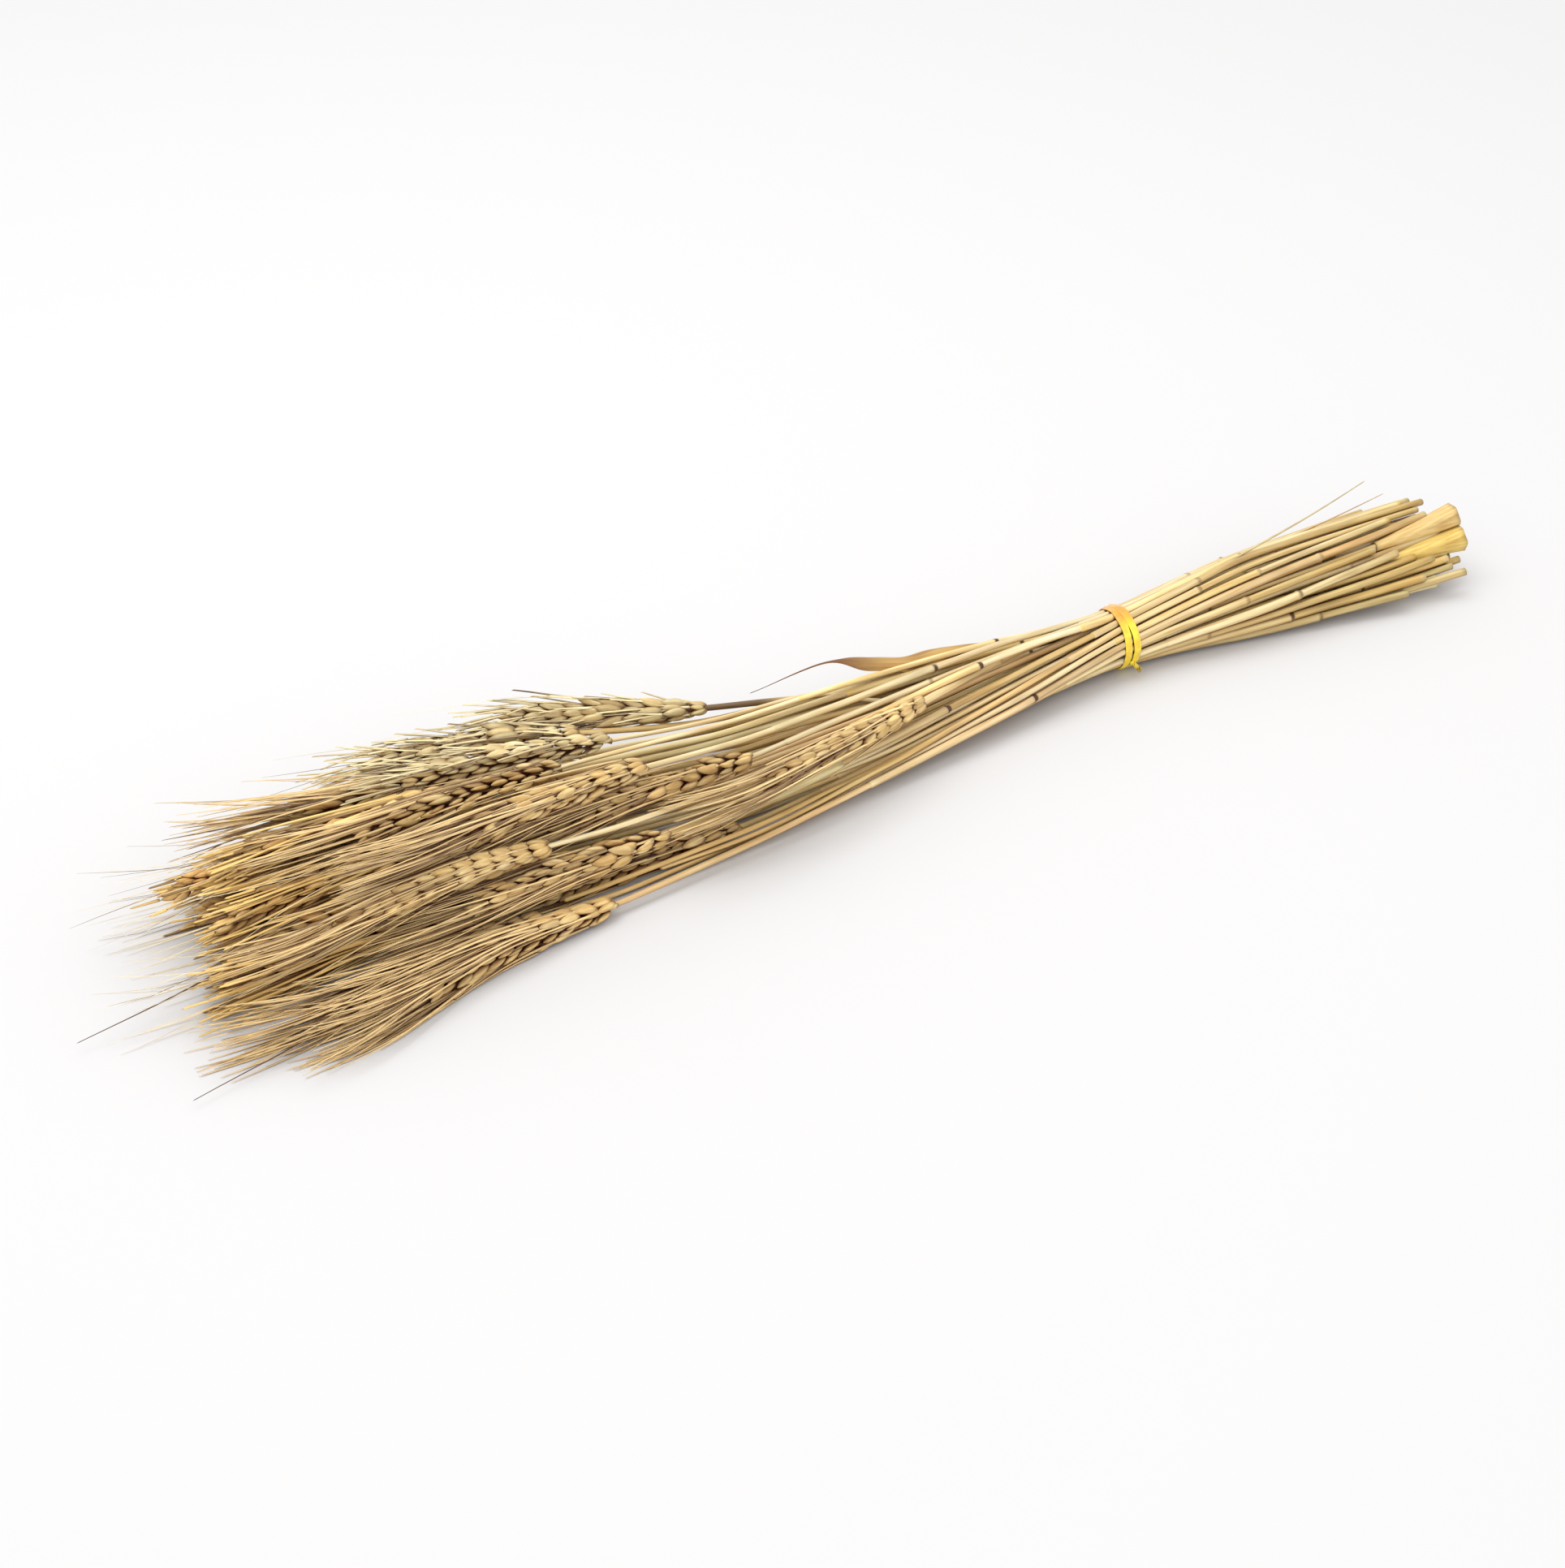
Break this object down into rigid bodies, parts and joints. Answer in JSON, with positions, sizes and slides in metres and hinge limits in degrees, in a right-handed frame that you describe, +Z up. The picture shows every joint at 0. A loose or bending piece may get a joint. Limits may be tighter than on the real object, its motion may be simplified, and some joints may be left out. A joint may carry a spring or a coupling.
{
  "type": "bundle of dried wheat",
  "caption": "Bundle of dried bearded wheat stalks lying down, ears and awns at one end and cut straws at the other, held by a yellow twist tie.",
  "frame": {"origin": "middle of the bundle's box, on the surface that it lies on", "axes": "+X along the straws towards the cut ends, +Z up, ears and awns towards -X"},
  "size_m": [0.5966, 0.1382, 0.0436],
  "materials": {
    "straw": "dry wheat straw, satin, golden to olive, with pinkish and dark streaks",
    "tie": "glossy golden yellow plastic strip"
  },
  "bodies": {
    "root": {"stalk_01": "straw", "stalk_02": "straw", "stalk_03": "straw", "stalk_04": "straw", "stalk_05": "straw", "stalk_06": "straw", "stalk_07": "straw", "stalk_08": "straw", "stalk_09": "straw", "stalk_10": "straw", "stalk_11": "straw", "stalk_12": "straw", "stalk_13": "straw", "stalk_14": "straw", "stalk_15": "straw", "stalk_16": "straw", "stalk_17": "straw", "stalk_18": "straw", "stalk_19": "straw", "stalk_20": "straw", "stalk_21": "straw", "stalk_22": "straw", "stalk_23": "straw", "stalk_24": "straw", "stalk_25": "straw", "stalk_26": "straw", "stalk_27": "straw", "stalk_28": "straw", "stalk_29": "straw", "stalk_30": "straw", "straw_31": "straw", "straw_32": "straw", "straw_33": "straw", "straw_34": "straw", "straw_35": "straw", "straw_36": "straw", "straw_37": "straw", "straw_38": "straw", "straw_39": "straw", "straw_40": "straw", "straw_41": "straw", "straw_42": "straw", "straw_43": "straw", "straw_44": "straw", "straw_45": "straw", "straw_46": "straw", "straw_47": "straw", "straw_48": "straw", "straw_49": "straw", "tie": "tie"}
  },
  "joints": []
}
